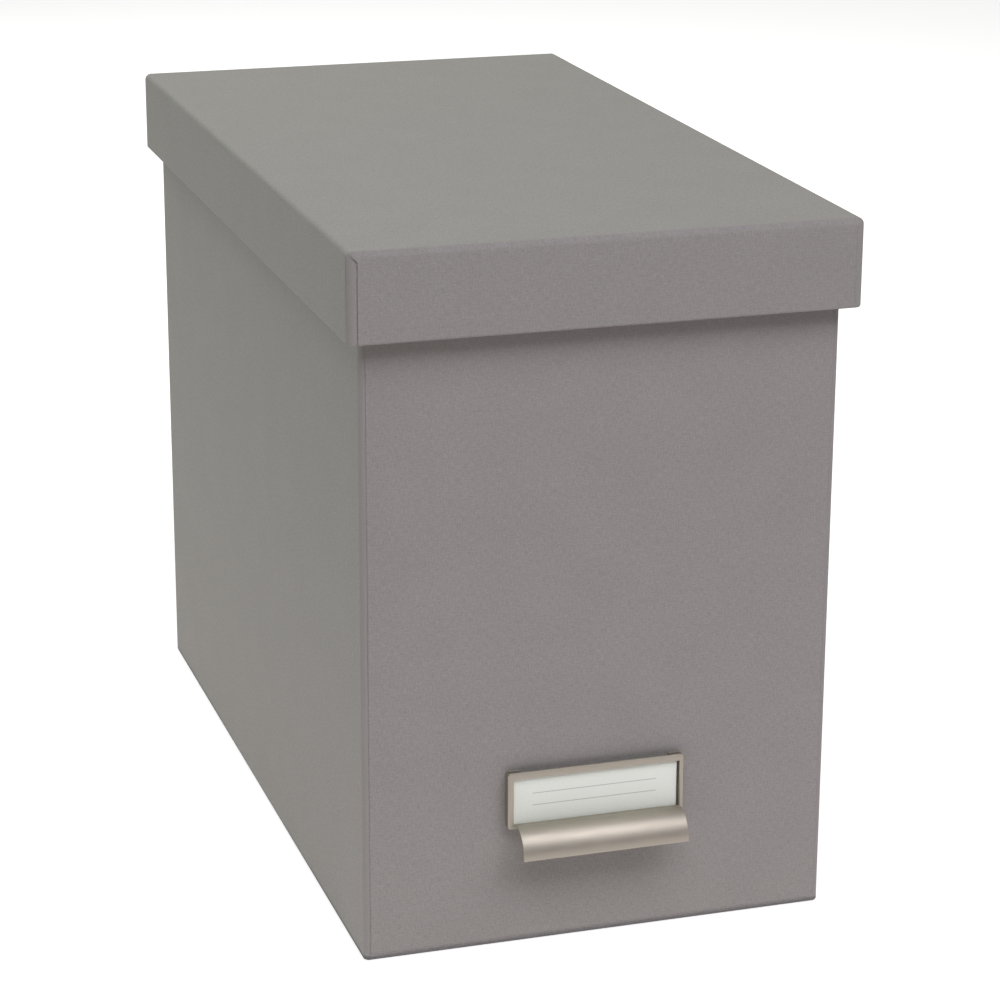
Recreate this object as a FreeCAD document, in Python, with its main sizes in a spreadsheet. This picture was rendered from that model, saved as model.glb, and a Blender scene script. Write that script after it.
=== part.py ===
import FreeCAD, Part
import os
import Sketcher

# Archival box for hanging files: a paper-covered board body with two steel file rails, a stamped
# label holder with a pull lip on its front end, a label card and a lift-off lid.
# Frame: X across the width, Y along the depth with the front at -Y, Z up, origin at the centre of
# the underside. Millimetres.

SIZES = (
    ("lid_width", 190.0, "lid, outside width"),
    ("lid_depth", 352.0, "lid, outside depth"),
    ("box_height", 268.0, "floor to the top of the lid"),
    ("lid_skirt", 32.8, "height of the lid's skirt, outside"),
    ("overhang_side", 5.5, "lid beyond the body on each long side"),
    ("overhang_end", 7.0, "lid beyond the body at each end"),
    ("board", 2.6, "greyboard"),
    ("paper", 0.3, "cover and lining paper"),
    ("tape", 0.12, "corner stay tape"),
    ("fold_radius", 2.0, "outside radius of the body's folded edges"),
    ("lid_fold_radius", 2.6, "outside radius of the lid's folded edges"),
    ("edge_turn", 16.3, "cover paper turned round an outside edge"),
    ("rim_turn", 25.0, "cover paper turned in over the rim"),
    ("lid_turn", 18.0, "lid cover turned in inside the skirt"),
    ("side_margin", 2.4, "end sheet's edge to the body's vertical edge"),
    ("foot_margin", 2.7, "end sheet's edge to the body's bottom edge"),
    ("lap_margin", 3.6, "lid end flap's edge to the lid's vertical edge"),
    ("stay_leg", 25.0, "leg of a corner stay"),
    ("stay_gap", 12.0, "corner stay's end to the board's end"),
    ("lid_stay_gap", 4.0, "lid corner stay's end to the skirt's end"),
    ("rail_length", 160.0, "file rail"),
    ("rail_steel", 1.0, "file rail, steel thickness"),
    ("rail_bend", 0.8, "file rail, inside bend radius"),
    ("rail_spacing", 308.0, "between the middles of the two hanging edges"),
    ("rail_top", 250.0, "height of the hanging edge"),
    ("rail_floor", 236.0, "height of the rail's underside"),
    ("flange_top", 258.0, "height of the rail's flange"),
    ("rivet_spacing", 120.0, "between the rivets of a rail"),
    ("rivet_level", 253.5, "height of the rail rivets"),
    ("rivet_radius", 1.6, "rivet shank"),
    ("rivet_head", 3.0, "rivet head radius"),
    ("rivet_crown", 2.1, "radius of the rivet head's flat top"),
    ("rivet_set", 2.4, "radius of the rivet's set end"),
    ("head_height", 0.8, "rivet head"),
    ("set_height", 0.6, "rivet's set end"),
    ("hole_clearance", 0.1, "round the rivets and prongs"),
    ("holder_shift", -1.95, "label holder's middle from the box's middle"),
    ("holder_width", 67.9, "label holder"),
    ("holder_foot", 47.2, "height of the label holder's lower edge"),
    ("holder_head", 69.2, "height of the label holder's upper edge"),
    ("holder_proud", 3.3, "label holder's front face from the box"),
    ("holder_steel", 0.8, "label holder, steel thickness"),
    ("holder_corner", 1.2, "label holder's corner radius"),
    ("window_side", 1.85, "window to the holder's side"),
    ("window_shift", 0.35, "window's middle from the holder's middle"),
    ("window_top", 2.6, "window to the holder's top"),
    ("ledge", 1.3, "window and card floor above the holder's lower edge"),
    ("rear_flange", 5.0, "width of the flanges behind the card"),
    ("lip_width", 63.8, "pull lip"),
    ("lip_shift", 1.2, "pull lip's middle from the holder's middle"),
    ("lip_reach", 12.9, "pull lip's front from the box"),
    ("lip_radius", 9.8, "outside radius of the pull lip's curl"),
    ("lip_foot", 38.1, "height of the pull lip's edge"),
    ("prong_inset", 3.0, "prong's middle from the holder's side"),
    ("prong_rise", 5.5, "prong's middle from the holder's edge"),
    ("prong_width", 3.0, "prong"),
    ("prong_clinch", 5.5, "length of the clinched prong end"),
    ("card_width", 64.0, "label card"),
    ("card_tall", 19.4, "label card"),
    ("card_thick", 0.4, "label card"),
    ("card_shift", -0.3, "label card's middle from the holder's middle"),
    ("card_gap", 0.25, "holder's front plate to the card"),
)
LEFT, RIGHT = -1, 1
FRONT, BACK = -1, 1
CLEAR = 10.0  # how far cutting blocks run past the solids they cut

doc = FreeCAD.newDocument("archival_box")
sheet = doc.addObject("Spreadsheet::Sheet", "Sizes")
for row, (alias, number, meaning) in enumerate(SIZES, 1):
    sheet.set(f"A{row}", meaning)
    sheet.set(f"B{row}", str(number))
    sheet.setAlias(f"B{row}", alias)
doc.recompute()


def size(name):
    """The expression that reads a cell."""
    return f"Sizes.{name}"


def bind(made, place, expression):
    """Ties one property of an object to an expression."""
    made.setExpression(place, str(expression))


def value(expression):
    """What an expression comes to now, in millimetres."""
    return float(sheet.evalExpression(str(expression)))


def plus(*terms):
    return "(" + " + ".join(str(t) for t in terms) + ")"


def less(first, *terms):
    return "(" + " - ".join(str(t) for t in (first, *terms)) + ")"


def half(term):
    return f"({term} / 2)"


def minus(term):
    return f"(-({term}))"


def signed(side, term):
    return minus(term) if side < 0 else term


def span(side, near, far):
    """Low and high ends of the stretch from near to far, measured out from the centre plane."""
    return (minus(far), minus(near)) if side < 0 else (near, far)


def across(reach):
    """Low and high ends of a stretch that is symmetric about the centre plane."""
    return minus(reach), reach


PAPER, BOARD = size("paper"), size("board")
# Heights.
TOP = size("box_height")
RIM = less(TOP, PAPER, BOARD, PAPER)  # body's rim, against the lid's lining
BOARD_TOP = less(RIM, PAPER)
BOARD_FOOT = plus(PAPER, PAPER)  # above the base sheet and the turned-in edges
FLOOR = plus(BOARD_FOOT, BOARD)
TURN_FOOT = less(RIM, size("rim_turn"))
SKIRT_FOOT = less(TOP, size("lid_skirt"))
CEILING = less(TOP, PAPER, BOARD)  # underside of the lid's top board
LID_TURN_TOP = plus(SKIRT_FOOT, size("lid_turn"))
# Half widths and half depths, from outside to inside.
LID_X, LID_Y = half(size("lid_width")), half(size("lid_depth"))
LID_BOARD_X, LID_BOARD_Y = less(LID_X, PAPER), less(LID_Y, PAPER, PAPER)
LID_IN_X, LID_IN_Y = less(LID_BOARD_X, BOARD), less(LID_BOARD_Y, BOARD)
LID_CLEAR_X, LID_CLEAR_Y = less(LID_IN_X, PAPER), less(LID_IN_Y, PAPER)
BODY_X, BODY_Y = less(LID_X, size("overhang_side")), less(LID_Y, size("overhang_end"))
FLAP_Y = less(BODY_Y, PAPER)  # face of the side covers' flaps, under the end sheets
BOARD_X, BOARD_Y = less(BODY_X, PAPER), less(FLAP_Y, PAPER)
IN_X, IN_Y = less(BOARD_X, BOARD), less(BOARD_Y, BOARD)
CLEAR_X, CLEAR_Y = less(IN_X, PAPER), less(IN_Y, PAPER)


def block(name, x, y, z):
    """A box over three spans of expressions."""
    made = doc.addObject("Part::Box", name)
    for edge, axis, (low, high) in zip(("Length", "Width", "Height"), "xyz", (x, y, z)):
        bind(made, edge, less(high, low))
        bind(made, f"Placement.Base.{axis}", low)
    return made


def fuse(name, *shapes):
    made = doc.addObject("Part::MultiFuse", name)
    made.Shapes = list(shapes)
    return made


def cut(name, base, *tools):
    made = doc.addObject("Part::Cut", name)
    made.Base = base
    made.Tool = tools[0] if len(tools) == 1 else fuse(name + "_tools", *tools)
    return made


def common(name, first, *others):
    """What all the shapes share, by one Part::Common after another."""
    for step, other in enumerate(others, 1):
        last = step == len(others)
        made = doc.addObject("Part::Common", name if last else f"{name}_step{step}")
        made.Base, made.Tool = first, other
        first = made
    return first


def sketch(body, role, name, offset, points, radii=None):
    """A closed outline on an origin plane, moved along its normal. Every corner is tied to the
    origin by two expressions; radii gives, for a side that is an arc, its radius and centre."""
    radii = radii or {}
    made = body.newObject("Sketcher::SketchObject", name)
    plane = [f for f in body.Origin.OriginFeatures if f.Role == role]
    made.AttachmentSupport = [(plane[0], "")]
    made.MapMode = "FlatFace"
    bind(made, "AttachmentOffset.Base.z", offset)
    outline(made, points, radii)
    return made


def outline(made, points, radii):
    """Adds one closed outline to a sketch. Each round side is listed in radii under the index of
    its first point, with its radius, its centre and whether it runs against the clock."""
    places = [FreeCAD.Vector(value(x), value(y), 0) for x, y in points]
    count, first = len(points), made.GeometryCount
    ends = []
    for i, start in enumerate(places):
        stop = places[(i + 1) % count]
        if i not in radii:
            made.addGeometry(Part.LineSegment(start, stop), False)
            ends.append((1, 2))
            continue
        radius, centre, against_clock = radii[i]
        middle = FreeCAD.Vector(value(centre[0]), value(centre[1]), 0)
        circle = Part.Circle(middle, FreeCAD.Vector(0, 0, 1), value(radius))
        angles = [circle.parameter(start), circle.parameter(stop)]
        made.addGeometry(Part.ArcOfCircle(circle, *(angles if against_clock else angles[::-1])), False)
        ends.append((1, 2) if against_clock else (2, 1))
    for i in range(count):
        after = (i + 1) % count
        made.addConstraint(
            Sketcher.Constraint("Coincident", first + i, ends[i][1], first + after, ends[after][0])
        )
    for i, (corner, place) in enumerate(zip(points, places)):
        for kind, term, number in zip(("DistanceX", "DistanceY"), corner, (place.x, place.y)):
            made.addConstraint(Sketcher.Constraint(kind, -1, 1, first + i, ends[i][0], number))
            bind(made, f"Constraints[{made.ConstraintCount - 1}]", term)
    for i, (radius, _, _) in radii.items():
        made.addConstraint(Sketcher.Constraint("Radius", first + i, value(radius)))
        bind(made, f"Constraints[{made.ConstraintCount - 1}]", radius)


def rectangle(x, y):
    """The corners of a rectangle over two spans."""
    return [(x[0], y[0]), (x[1], y[0]), (x[1], y[1]), (x[0], y[1])]


def pad(body, profile, name, length, side="One side", reverse=False):
    made = body.newObject("PartDesign::Pad", name)
    made.Profile = profile
    bind(made, "Length", length)
    made.SideType = side
    made.Reversed = reverse
    doc.recompute()
    return made


def pocket(body, profile, name, length, reverse=False):
    """A pocket, which has to take material away."""
    before = body.Shape.Volume
    made = body.newObject("PartDesign::Pocket", name)
    made.Profile = profile
    bind(made, "Length", length)
    made.Reversed = reverse
    doc.recompute()
    if not body.Shape.Volume < before - 1e-3:
        raise RuntimeError(f"{name} cuts nothing")
    return made


def fillet(body, base, name, radius, wanted):
    """A fillet on the edges whose two ends both pass the test."""
    edges = [
        f"Edge{i}"
        for i, edge in enumerate(base.Shape.Edges, 1)
        if wanted(edge.Vertexes[0].Point, edge.Vertexes[-1].Point)
    ]
    made = body.newObject("PartDesign::Fillet", name)
    made.Base = (base, edges)
    bind(made, "Radius", radius)
    doc.recompute()
    return made


def same(a, b):
    return abs(a - b) < 1e-4


def rounded_block(name, x, y, z, radius, round_end=None):
    """A block whose vertical edges have the fold's radius, and its top's or foot's too on request."""
    body = doc.addObject("PartDesign::Body", name)
    profile = sketch(body, "XY_Plane", name + "_outline", z[0], rectangle(x, y))
    base = pad(body, profile, name + "_pad", less(z[1], z[0]))
    level = {"foot": value(z[0]), "top": value(z[1])}.get(round_end)

    def wanted(a, b):
        upright = same(a.x, b.x) and same(a.y, b.y)
        return upright or (round_end and same(a.z, level) and same(b.z, level))

    fillet(body, base, name + "_folds", radius, wanted)
    return body


def corner_columns(name, x, y, z):
    """Four upright blocks over the box's vertical corners; x and y are (near, far)."""
    return fuse(
        name,
        *(
            block(f"{name}_{i}", span(side, *x), span(end, *y), z)
            for i, (side, end) in enumerate((s, e) for s in (LEFT, RIGHT) for e in (FRONT, BACK))
        ),
    )


def corner_stays(name, core, x, y, z, fold):
    """Four L-shaped tapes on the outside of a board block's vertical corners, under the cover's fold."""
    tape = size("tape")
    radius = plus(less(fold, PAPER), tape)
    shell = rounded_block(name + "_block", across(plus(x, tape)), across(plus(y, tape)), z, radius)
    legs = corner_columns(
        name + "_legs",
        (less(x, size("stay_leg")), plus(x, CLEAR)),
        (less(y, size("stay_leg")), plus(y, CLEAR)),
        z,
    )
    return common(name, cut(name + "_tape", shell, core), legs)


def pin(name, end, x, start, z, length, radius, tip_radius=None):
    """A round pin or, with a tip radius, a cone, pointing out of one end of the box."""
    made = doc.addObject("Part::Cone" if tip_radius else "Part::Cylinder", name)
    turn = FreeCAD.Rotation(FreeCAD.Vector(1, 0, 0), -90 * end)
    made.Placement = FreeCAD.Placement(FreeCAD.Vector(), turn)
    bind(made, "Placement.Base.x", x)
    bind(made, "Placement.Base.y", signed(end, start))
    bind(made, "Placement.Base.z", z)
    bind(made, "Height", length)
    bind(made, "Radius1" if tip_radius else "Radius", radius)
    if tip_radius:
        bind(made, "Radius2", tip_radius)
    return made


def mitre_side(name, side, end):
    """The half-space past a bottom corner's mitre, which runs at 45 degrees on both faces."""
    made = doc.addObject("Part::Cylinder", name)
    normal = FreeCAD.Vector(-side, end, -1)
    made.Placement = FreeCAD.Placement(
        FreeCAD.Vector(), FreeCAD.Rotation(FreeCAD.Vector(0, 0, 1), normal)
    )
    bind(made, "Placement.Base.x", signed(side, BODY_X))
    bind(made, "Placement.Base.y", signed(end, FLAP_Y))
    bind(made, "Placement.Base.z", PAPER)
    bind(made, "Radius", size("lid_depth"))
    bind(made, "Height", size("lid_depth"))
    return made


# Cores: the blocks of board that the boards are sawn from, and the tapes round their corners.


def body_core():
    radius = less(size("fold_radius"), PAPER)
    return rounded_block(
        "body_core", across(BOARD_X), across(BOARD_Y), (BOARD_FOOT, BOARD_TOP), radius, "foot"
    )


def lid_core():
    radius = less(size("lid_fold_radius"), PAPER)
    levels = (plus(SKIRT_FOOT, PAPER), less(TOP, PAPER))
    return rounded_block("lid_core", across(LID_BOARD_X), across(LID_BOARD_Y), levels, radius, "top")


def four_walls(prefix, core, inner_x, inner_y, outer_x, outer_y, z):
    """The four upright boards of a tray: the sides run full length and the ends stand between."""
    walls = {}
    for side, word in ((LEFT, "left"), (RIGHT, "right")):
        name = f"{prefix}{word}_board"
        saw = block(name + "_saw", span(side, inner_x, outer_x), across(outer_y), z)
        walls[name] = common(name, core, saw)
    for end, word in ((FRONT, "front"), (BACK, "back")):
        name = f"{prefix}{word}_board"
        saw = block(name + "_saw", across(inner_x), span(end, inner_y, outer_y), z)
        walls[name] = common(name + "_uncut", core, saw)
    return walls


# Holes through the ends of the body.


def rivet_places():
    """(x, end) of each rail rivet."""
    reach = half(size("rivet_spacing"))
    return [(signed(side, reach), end) for end in (FRONT, BACK) for side in (LEFT, RIGHT)]


def rivet_holes():
    start = less(CLEAR_Y, size("rail_steel"), size("rail_steel"))
    radius = plus(size("rivet_radius"), half(size("hole_clearance")))
    return fuse(
        "rivet_holes",
        *(
            pin(f"rivet_hole_{i}", end, x, start, size("rivet_level"), CLEAR, radius)
            for i, (x, end) in enumerate(rivet_places())
        ),
    )


def prong_spans(margin):
    """X and Z spans of the four prongs of the label holder, each way wider by the margin."""
    thick, wide = half(size("holder_steel")), half(size("prong_width"))
    places = []
    for side in (LEFT, RIGHT):
        out = less(half(size("holder_width")), size("prong_inset"))
        x = plus(size("holder_shift"), signed(side, out))
        for z in (
            plus(size("holder_foot"), size("prong_rise")),
            less(size("holder_head"), size("prong_rise")),
        ):
            places.append(
                (
                    side,
                    (less(x, thick, margin), plus(x, thick, margin)),
                    (less(z, wide, margin), plus(z, wide, margin)),
                )
            )
    return places


def prong_slots():
    y = (minus(plus(BODY_Y, 1)), minus(less(CLEAR_Y, 1)))
    return fuse(
        "prong_slots",
        *(
            block(f"prong_slot_{i}", x, y, z)
            for i, (_, x, z) in enumerate(prong_spans(half(size("hole_clearance"))))
        ),
    )


# Body.


def body_skin(core):
    """All of the body's cover paper but its end and base sheets: outside, rim and turn-in."""
    outer = rounded_block(
        "body_skin_block", across(BODY_X), across(FLAP_Y), (PAPER, RIM), size("fold_radius"), "foot"
    )
    turn_in = block("rim_turn_block", across(IN_X), across(IN_Y), (TURN_FOOT, RIM))
    mouth = block("body_mouth", across(CLEAR_X), across(CLEAR_Y), (FLOOR, plus(RIM, CLEAR)))
    return cut("body_skin", fuse("body_skin_filled", cut("body_skin_shell", outer, core), turn_in), mouth)


def edge_strip(end, word, skin, stays):
    """The strip round the bottom edge of one end, mitred at both corners."""
    turn = size("edge_turn")
    zone = block(
        f"{word}_strip_zone",
        across(plus(BODY_X, CLEAR)),
        span(end, less(FLAP_Y, turn), plus(FLAP_Y, CLEAR)),
        (0, plus(PAPER, turn)),
    )
    mitres = [mitre_side(f"{word}_mitre_{i}", side, end) for i, side in enumerate((LEFT, RIGHT))]
    raw = common(f"{word}_strip_raw", skin, zone, *mitres)
    return cut(f"{word}_edge_strip", raw, stays)


def side_cover(side, word, skin, strips, stays):
    """The cover of a long side, with its flaps on the ends, the base and inside the rim."""
    zone = block(
        f"{word}_cover_zone",
        span(side, less(BODY_X, size("edge_turn")), plus(BODY_X, CLEAR)),
        across(plus(BODY_Y, CLEAR)),
        (0, plus(RIM, CLEAR)),
    )
    return cut(f"{word}_cover", common(f"{word}_cover_raw", skin, zone), *strips, stays)


def end_cover(end, word, skin, under, holes):
    """The sheet on one end, laid over the turned-in edges and turned in over the rim."""
    panel = block(
        f"{word}_panel",
        across(less(BODY_X, size("side_margin"))),
        span(end, BOARD_Y, BODY_Y),
        (size("foot_margin"), RIM),
    )
    zone = block(
        f"{word}_rim_zone",
        across(less(BODY_X, size("edge_turn"))),
        span(end, CLEAR_Y, plus(BODY_Y, CLEAR)),
        (plus(PAPER, size("edge_turn")), plus(RIM, CLEAR)),
    )
    whole = fuse(f"{word}_sheet", panel, common(f"{word}_rim_part", skin, zone))
    return cut(f"{word}_cover", whole, *under, *holes)


def base_cover(under):
    margin = size("side_margin")
    x, y = across(less(BODY_X, margin)), across(less(FLAP_Y, margin))
    return cut("base_cover", block("base_sheet", x, y, (0, BOARD_FOOT)), *under)


def wall_lining(slots):
    levels = (plus(FLOOR, PAPER), TURN_FOOT)
    band = block("wall_lining_block", across(IN_X), across(IN_Y), levels)
    hollow = block("wall_lining_hollow", across(CLEAR_X), across(CLEAR_Y), (0, TOP))
    return cut("wall_lining", band, hollow, slots)


def rail(end, word, holes):
    """A steel channel across one end: a flange on the wall, a floor and the hanging edge."""
    steel = size("rail_steel")
    body = doc.addObject("PartDesign::Body", f"{word}_rail_channel")
    wall, wall_in = CLEAR_Y, less(CLEAR_Y, steel)
    edge_out = plus(half(size("rail_spacing")), half(steel))
    edge_in = less(half(size("rail_spacing")), half(steel))
    low, floor = size("rail_floor"), plus(size("rail_floor"), steel)
    corners = (
        (wall, size("flange_top")),
        (wall, low),
        (edge_in, low),
        (edge_in, size("rail_top")),
        (edge_out, size("rail_top")),
        (edge_out, floor),
        (wall_in, floor),
        (wall_in, size("flange_top")),
    )
    points = [(signed(end, y), z) for y, z in corners]
    profile = sketch(body, "YZ_Plane", f"{word}_rail_profile", 0, points)
    base = pad(body, profile, f"{word}_rail_pad", size("rail_length"), "Symmetric")
    for name, radius, level, reach in (
        ("inner", size("rail_bend"), floor, (edge_out, wall_in)),
        ("outer", plus(size("rail_bend"), steel), low, (edge_in, wall)),
    ):
        depths = [abs(value(term)) for term in reach]
        height = value(level)

        def wanted(a, b):
            along = same(a.y, b.y) and same(a.z, b.z) and same(a.z, height)
            return along and any(same(abs(a.y), depth) for depth in depths)

        base = fillet(body, base, f"{word}_rail_{name}_bends", radius, wanted)
    return cut(f"{word}_rail", body, holes)


def rail_rivets():
    """One node of four rivets, heads outside under the lid's skirt and set ends inside."""
    inside = less(CLEAR_Y, size("rail_steel"), size("set_height"))
    level, head = size("rivet_level"), size("head_height")
    rivets = []
    for i, (x, end) in enumerate(rivet_places()):
        shank_length = less(plus(BODY_Y, half(head)), inside)
        rivets.append(
            fuse(
                f"rail_rivet_{i}",
                pin(f"rivet_shank_{i}", end, x, inside, level, shank_length, size("rivet_radius")),
                pin(f"rivet_set_{i}", end, x, inside, level, size("set_height"), size("rivet_set")),
                pin(
                    f"rivet_head_{i}", end, x, BODY_Y, level, head,
                    size("rivet_head"), size("rivet_crown"),
                ),
            )
        )
    made = doc.addObject("Part::Compound", "rail_rivets")
    made.Links = rivets
    return made


# Label holder and card.


def label_holder():
    """One stamping: a shallow case with a window, open at the top, a curled lip and four prongs."""
    body = doc.addObject("PartDesign::Body", "label_holder")
    middle, steel = size("holder_shift"), size("holder_steel")
    reach = half(size("holder_width"))
    foot, head = size("holder_foot"), size("holder_head")
    seat = plus(foot, size("ledge"))
    face = plus(BODY_Y, size("holder_proud"))

    def beside(term, shift=0):
        return plus(middle, shift, minus(term)), plus(middle, shift, term)

    profile = sketch(
        body, "XZ_Plane", "holder_outline", BODY_Y, rectangle(beside(reach), (foot, head))
    )
    case = pad(body, profile, "holder_case", size("holder_proud"))
    fillet(
        body, case, "holder_corners", size("holder_corner"),
        lambda a, b: same(a.x, b.x) and same(a.z, b.z),
    )
    slot_y = (minus(less(face, steel)), minus(plus(BODY_Y, steel)))
    profile = sketch(
        body, "XY_Plane", "card_slot_outline", head, rectangle(beside(less(reach, steel)), slot_y)
    )
    pocket(body, profile, "card_slot", less(head, seat))
    window = rectangle(
        beside(less(reach, size("window_side")), size("window_shift")),
        (seat, less(head, size("window_top"))),
    )
    profile = sketch(body, "XZ_Plane", "window_outline", face, window)
    pocket(body, profile, "window", steel)
    rear = rectangle(beside(less(reach, size("rear_flange"))), (plus(seat, steel), plus(head, CLEAR)))
    profile = sketch(body, "XZ_Plane", "rear_outline", BODY_Y, rear)
    pocket(body, profile, "rear_opening", steel, reverse=True)
    holder_lip(body, face, seat)
    holder_prongs(body)
    return body


def holder_lip(body, face, seat):
    """The pull lip: level out of the window's lower edge, curled down and ended with a short drop."""
    steel, radius = size("holder_steel"), size("lip_radius")
    root = minus(less(face, half(steel)))
    front = minus(plus(BODY_Y, size("lip_reach")))
    inner = plus(front, steel)
    centre = (plus(front, radius), less(seat, radius))
    corners = [
        (root, seat),
        (centre[0], seat),
        (front, centre[1]),
        (front, size("lip_foot")),
        (inner, size("lip_foot")),
        (inner, centre[1]),
        (centre[0], less(seat, steel)),
        (root, less(seat, steel)),
    ]
    curls = {1: (radius, centre, True), 5: (less(radius, steel), centre, False)}
    middle = plus(size("holder_shift"), size("lip_shift"))
    profile = sketch(body, "YZ_Plane", "lip_profile", middle, corners, curls)
    pad(body, profile, "lip", size("lip_width"), "Symmetric")


def holder_prongs(body):
    """Four prongs through the wall, each clinched towards the middle on the inside."""
    steel = size("holder_steel")
    for i, (side, x, z) in enumerate(prong_spans(0)):
        shank = sketch(body, "XZ_Plane", f"prong_outline_{i}", BODY_Y, rectangle(x, z))
        pad(body, shank, f"prong_{i}", plus(less(BODY_Y, CLEAR_Y), steel), reverse=True)
        outer = x[0] if side < 0 else x[1]
        inner = less(outer, signed(side, size("prong_clinch")))
        flat = rectangle((outer, inner) if side < 0 else (inner, outer), z)
        clinch = sketch(body, "XZ_Plane", f"clinch_outline_{i}", CLEAR_Y, flat)
        pad(body, clinch, f"clinch_{i}", steel, reverse=True)


def label_card():
    """The card, standing on the holder's ledge behind the window."""
    body = doc.addObject("PartDesign::Body", "label_card")
    middle = plus(size("holder_shift"), size("card_shift"))
    foot = plus(size("holder_foot"), size("ledge"))
    reach = half(size("card_width"))
    back = plus(
        BODY_Y, less(size("holder_proud"), size("holder_steel"), size("card_gap"), size("card_thick"))
    )
    corners = rectangle((less(middle, reach), plus(middle, reach)), (foot, plus(foot, size("card_tall"))))
    profile = sketch(body, "XZ_Plane", "card_outline", back, corners)
    pad(body, profile, "card", size("card_thick"))
    return body


# Lid.


def lid_cover(core, stays):
    """The lid's one cover sheet: outside, bottom edge, turn-in and the end flaps' laps."""
    outer = rounded_block(
        "lid_skin_block", across(LID_X), across(LID_Y), (SKIRT_FOOT, TOP), size("lid_fold_radius"), "top"
    )
    turn_in = block("lid_turn_block", across(LID_IN_X), across(LID_IN_Y), (SKIRT_FOOT, LID_TURN_TOP))
    mouth = block(
        "lid_mouth", across(LID_CLEAR_X), across(LID_CLEAR_Y), (less(SKIRT_FOOT, CLEAR), RIM)
    )
    margin = size("lap_margin")
    tabs = corner_columns(
        "lid_tabs",
        (less(LID_X, margin), plus(LID_X, CLEAR)),
        (less(LID_Y, PAPER), plus(LID_Y, CLEAR)),
        (less(SKIRT_FOOT, CLEAR), less(TOP, margin)),
    )
    filled = fuse("lid_skin_filled", cut("lid_skin_shell", outer, core), turn_in)
    return cut("lid_cover", filled, mouth, tabs, stays)


def lid_lining():
    band = block("lid_lining_block", across(LID_IN_X), across(LID_IN_Y), (LID_TURN_TOP, CEILING))
    hollow = block(
        "lid_lining_hollow", across(LID_CLEAR_X), across(LID_CLEAR_Y), (less(LID_TURN_TOP, 1), RIM)
    )
    return cut("lid_lining", band, hollow)


def build_body():
    core = body_core()
    gap = size("stay_gap")
    levels = (plus(BOARD_FOOT, gap), less(BOARD_TOP, gap))
    stays = corner_stays("corner_stays", core, BOARD_X, BOARD_Y, levels, size("fold_radius"))
    rivets, slots = rivet_holes(), prong_slots()
    skin = body_skin(core)
    strips = [edge_strip(end, word, skin, stays) for end, word in ((FRONT, "front"), (BACK, "back"))]
    sides = [
        side_cover(side, word, skin, strips, stays) for side, word in ((LEFT, "left"), (RIGHT, "right"))
    ]
    under = [*sides, *strips, stays]
    walls = four_walls("", core, IN_X, IN_Y, BOARD_X, BOARD_Y, (FLOOR, BOARD_TOP))
    floor = block("base_saw", across(BOARD_X), across(BOARD_Y), (BOARD_FOOT, FLOOR))
    return [
        common("base_board", core, floor),
        walls["left_board"],
        walls["right_board"],
        cut("front_board", walls["front_board"], rivets, slots),
        cut("back_board", walls["back_board"], rivets),
        stays,
        *sides,
        *strips,
        end_cover(FRONT, "front", skin, under, [rivets, slots]),
        end_cover(BACK, "back", skin, under, [rivets]),
        base_cover(under),
        wall_lining(slots),
        block("base_lining", across(IN_X), across(IN_Y), (FLOOR, plus(FLOOR, PAPER))),
        rail(FRONT, "front", rivets),
        rail(BACK, "back", rivets),
        rail_rivets(),
        label_holder(),
        label_card(),
    ]


def build_lid():
    core = lid_core()
    gap = size("lid_stay_gap")
    levels = (plus(SKIRT_FOOT, PAPER, gap), less(CEILING, gap))
    stays = corner_stays(
        "lid_corner_stays", core, LID_BOARD_X, LID_BOARD_Y, levels, size("lid_fold_radius")
    )
    walls = four_walls(
        "lid_", core, LID_IN_X, LID_IN_Y, LID_BOARD_X, LID_BOARD_Y, (plus(SKIRT_FOOT, PAPER), CEILING)
    )
    top = block("lid_top_saw", across(LID_X), across(LID_Y), (CEILING, TOP))
    for name in ("lid_front_board", "lid_back_board"):
        walls[name].Label = name
    return [common("lid_top_board", core, top), *walls.values(), stays, lid_cover(core, stays), lid_lining()]


def check(nodes):
    """Stops on any failed feature or unusable shape, before anything is written."""
    doc.recompute()
    for feature in doc.Objects:
        if {"Invalid", "Error"} & set(feature.State):
            raise RuntimeError(f"{feature.Name} failed: {feature.State}")
    for node in nodes:
        shape = node.Shape
        if shape.isNull() or not shape.isValid() or not shape.Solids:
            raise RuntimeError(f"{node.Label} has no valid solid")


def export(nodes):
    os.makedirs("parts", exist_ok=True)
    for node in nodes:
        node.Shape.exportStep(f"parts/{node.Label}.step")
        reach = node.Shape.BoundBox
        print(
            f"{node.Label:18s} solids {len(node.Shape.Solids)} volume {node.Shape.Volume:11.2f} "
            f"x {reach.XMin:8.2f} {reach.XMax:8.2f} y {reach.YMin:8.2f} {reach.YMax:8.2f} "
            f"z {reach.ZMin:7.2f} {reach.ZMax:7.2f}"
        )


nodes = build_body() + build_lid()
check(nodes)
export(nodes)
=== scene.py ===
import math

import bmesh
import bpy
import numpy as np
from mathutils import Matrix, Vector, noise


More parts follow.
